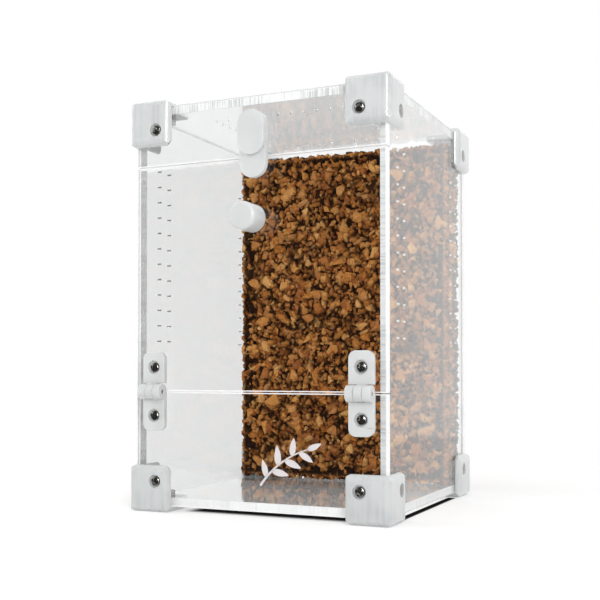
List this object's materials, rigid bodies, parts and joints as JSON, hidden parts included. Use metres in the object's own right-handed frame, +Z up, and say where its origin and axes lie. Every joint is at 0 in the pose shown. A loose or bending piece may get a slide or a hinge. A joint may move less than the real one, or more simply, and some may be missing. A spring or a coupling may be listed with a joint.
{
  "type": "plastic pet keeper",
  "caption": "Tall clear sheet pet keeper with frosted corner caps, a drop-down front door, a turn button, rows of vent holes and a cork back wall.",
  "frame": {"origin": "on the table, under the middle of the keeper's bounding box, which reaches from the knob's face to the back corner caps", "axes": "+Z up; the front with the door faces -Y; +X runs to the right seen from the front"},
  "size_m": [0.209, 0.224, 0.309],
  "materials": {
    "clear_sheet": "clear cast acrylic sheet with polished edges",
    "frosted_plastic": "frosted translucent white plastic, moulded",
    "screw_steel": "bright nickel-plated steel",
    "cork": "pressed dark cork granules, rough and matt"
  },
  "bodies": {
    "box": {"floor-panel": "clear_sheet", "roof-panel": "clear_sheet", "left-panel": "clear_sheet", "right-panel": "clear_sheet", "back-panel": "clear_sheet", "front-strip": "clear_sheet", "front-fascia": "clear_sheet", "cap-low-front-left": "frosted_plastic", "cap-low-front-right": "frosted_plastic", "cap-low-back-left": "frosted_plastic", "cap-low-back-right": "frosted_plastic", "cap-high-front-left": "frosted_plastic", "cap-high-front-right": "frosted_plastic", "cap-high-back-left": "frosted_plastic", "cap-high-back-right": "frosted_plastic", "block-low-front-left": "frosted_plastic", "block-low-front-right": "frosted_plastic", "block-low-back-left": "frosted_plastic", "block-low-back-right": "frosted_plastic", "block-high-front-left": "frosted_plastic", "block-high-front-right": "frosted_plastic", "block-high-back-left": "frosted_plastic", "block-high-back-right": "frosted_plastic", "corner-screws": "screw_steel", "strip-leaf-left": "frosted_plastic", "strip-leaf-right": "frosted_plastic", "hinge-pin-left": "screw_steel", "hinge-pin-right": "screw_steel", "strip-leaf-screws": "screw_steel", "strip-leaf-nuts": "screw_steel", "cork-wall": "cork"},
    "door": {"door-panel": "clear_sheet", "door-leaf-left": "frosted_plastic", "door-leaf-right": "frosted_plastic", "door-leaf-screws": "screw_steel", "door-leaf-nuts": "screw_steel", "door-knob": "frosted_plastic", "knob-screw": "screw_steel", "knob-washer": "screw_steel"},
    "button": {"turn-button": "frosted_plastic", "button-screw": "screw_steel", "button-washer": "screw_steel"}
  },
  "joints": [
    {"name": "door_hinge", "type": "hinge", "parent": "box", "child": "door", "pos_m": [0, -0.0987, 0.09], "axis": [1, 0, 0], "range_deg": [0, 120]},
    {"name": "button_pivot", "type": "hinge", "parent": "box", "child": "button", "pos_m": [0, -0.0925, 0.279], "axis": [0, 1, 0], "continuous": true}
  ]
}
